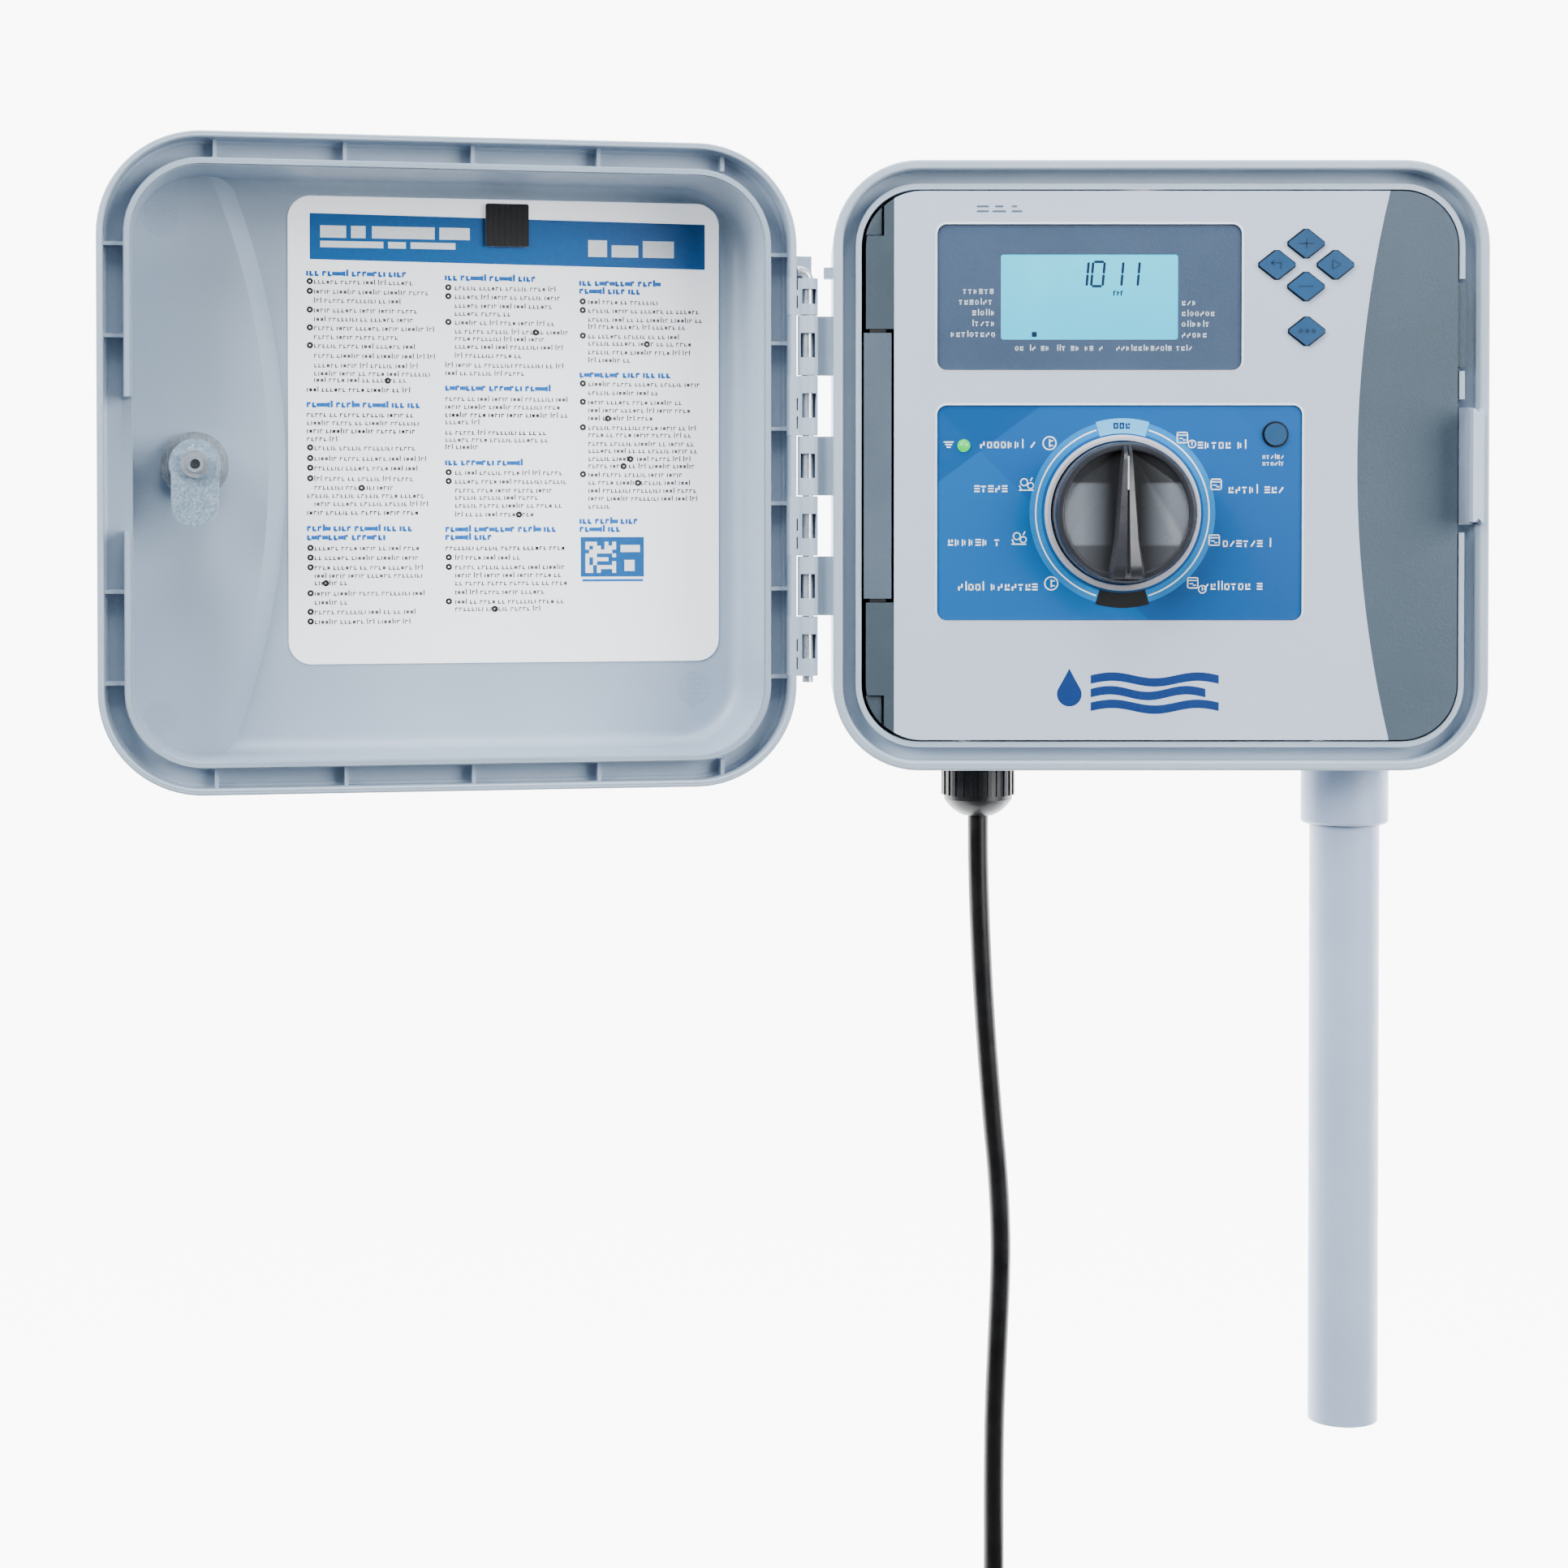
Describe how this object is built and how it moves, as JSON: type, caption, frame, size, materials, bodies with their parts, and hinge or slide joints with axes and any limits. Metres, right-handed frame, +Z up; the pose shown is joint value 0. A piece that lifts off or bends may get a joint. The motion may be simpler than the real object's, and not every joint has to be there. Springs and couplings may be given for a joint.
{
  "type": "irrigation controller",
  "caption": "Wall-mounted outdoor irrigation controller with hinged lockable door, swing-out dial panel with display and keys, conduit stub and mains lead.",
  "frame": {"origin": "centre of the cabinet's back face, on the wall plane", "axes": "+Y into the wall, -Y towards the user, +Z up, +X to the user's right"},
  "size_m": [0.5109, 0.1156, 0.7185],
  "materials": {
    "case_grey": "moulded, fine grain",
    "panel_grey": "smooth matt moulding",
    "slate_plastic": "fine spark texture",
    "wing_grey": "fine spark texture",
    "bezel_slate": "fine stipple",
    "black_plastic": "moulded satin",
    "gland_black": "moulded nylon",
    "knob_black": "satin",
    "lcd_cyan": "backlit display",
    "label_blue": "printed overlay",
    "key_teal": "soft satin",
    "silver_trim": "satin plated",
    "led_green": "lit lens",
    "steel": "drawn bright",
    "zinc": "zinc spangle",
    "chrome": "plated",
    "core_steel": "varnished laminations",
    "brass": "machined",
    "circuit_green": "solder mask",
    "module_dark": "moulded",
    "lock_red": "moulded",
    "card_white": "laminated print",
    "patch_black": "hook tape",
    "gasket_rubber": "foam strip",
    "cord_black": "extruded jacket",
    "pvc_grey": "extruded pipe"
  },
  "bodies": {
    "cabinet": {"cabinet_shell": "case_grey", "strike_catch": "panel_grey", "panel_hinge_strip": "case_grey", "hinge_clips": "black_plastic", "transformer": "core_steel", "transformer_screws": "steel", "wiring_cover": "case_grey", "earth_lug": "brass", "terminal_board": "circuit_green", "terminal_block": "black_plastic", "terminal_screws": "steel", "base_module": "module_dark", "station_modules": "module_dark", "board_screws": "steel", "gland_body": "gland_black", "gland_seal": "gasket_rubber", "gland_nut": "gland_black", "gland_locknut": "gland_black", "conduit_adapter": "pvc_grey", "conduit_locknut": "zinc", "conduit_pipe": "pvc_grey", "power_cord": "cord_black", "cord_coil": "cord_black", "cord_tail": "cord_black", "cord_tie": "black_plastic", "plug_body": "cord_black", "plug_blades": "brass"},
    "control_panel": {"panel_bezel": "panel_grey", "side_cover": "slate_plastic", "panel_wings": "wing_grey", "panel_back": "case_grey", "main_board": "circuit_green", "lcd_module": "lcd_cyan", "display_bezel": "bezel_slate", "dial_label": "label_blue", "dial_ring": "silver_trim", "status_led": "led_green", "rotary_switch": "black_plastic", "keypad_mat": "gasket_rubber", "backup_battery": "steel", "panel_screws": "steel"},
    "door": {"door_shell": "case_grey", "door_gasket": "gasket_rubber", "hinge_pin": "steel", "instruction_card": "card_white", "card_patch": "patch_black", "lock_body": "chrome", "lock_nut": "chrome"},
    "dial": {"dial_knob": "knob_black"},
    "key_up": {"key_up": "key_teal"},
    "key_left": {"key_left": "key_teal"},
    "key_right": {"key_right": "key_teal"},
    "key_down": {"key_down": "key_teal"},
    "key_program": {"key_program": "key_teal"},
    "start_button": {"start_button": "key_teal"},
    "cam": {"lock_plug": "chrome", "cam_lever": "zinc", "cam_nut": "chrome"},
    "module_lock": {"module_lock": "lock_red"}
  },
  "joints": [
    {"name": "door_hinge", "type": "hinge", "parent": "cabinet", "child": "door", "pos_m": [-0.132, -0.062, 0], "axis": [0, 0, 1], "range_deg": [-11, 168.5]},
    {"name": "panel_hinge", "type": "hinge", "parent": "cabinet", "child": "control_panel", "pos_m": [-0.1073, -0.06, 0], "axis": [0, 0, 1], "range_deg": [-110, 0]},
    {"name": "cam_turn", "type": "hinge", "parent": "door", "child": "cam", "pos_m": [-0.35767, -0.08138, 0], "axis": [-0.1994, 0.9799, 0], "range_deg": [0, 90]},
    {"name": "dial_turn", "type": "hinge", "parent": "control_panel", "child": "dial", "pos_m": [-0.0142, -0.063, -0.0176], "axis": [0, -1, 0], "continuous": true},
    {"name": "key_up_press", "type": "slide", "parent": "control_panel", "child": "key_up", "axis": [0, 1, 0], "range_m": [0, 0.0012], "stiffness_N_per_m": 300},
    {"name": "key_left_press", "type": "slide", "parent": "control_panel", "child": "key_left", "axis": [0, 1, 0], "range_m": [0, 0.0012], "stiffness_N_per_m": 300},
    {"name": "key_right_press", "type": "slide", "parent": "control_panel", "child": "key_right", "axis": [0, 1, 0], "range_m": [0, 0.0012], "stiffness_N_per_m": 300},
    {"name": "key_down_press", "type": "slide", "parent": "control_panel", "child": "key_down", "axis": [0, 1, 0], "range_m": [0, 0.0012], "stiffness_N_per_m": 300},
    {"name": "key_program_press", "type": "slide", "parent": "control_panel", "child": "key_program", "axis": [0, 1, 0], "range_m": [0, 0.0012], "stiffness_N_per_m": 300},
    {"name": "start_button_press", "type": "slide", "parent": "control_panel", "child": "start_button", "axis": [0, 1, 0], "range_m": [0, 0.0008], "stiffness_N_per_m": 300},
    {"name": "module_lock_slide", "type": "slide", "parent": "cabinet", "child": "module_lock", "axis": [1, 0, 0], "range_m": [0, 0.006]}
  ]
}
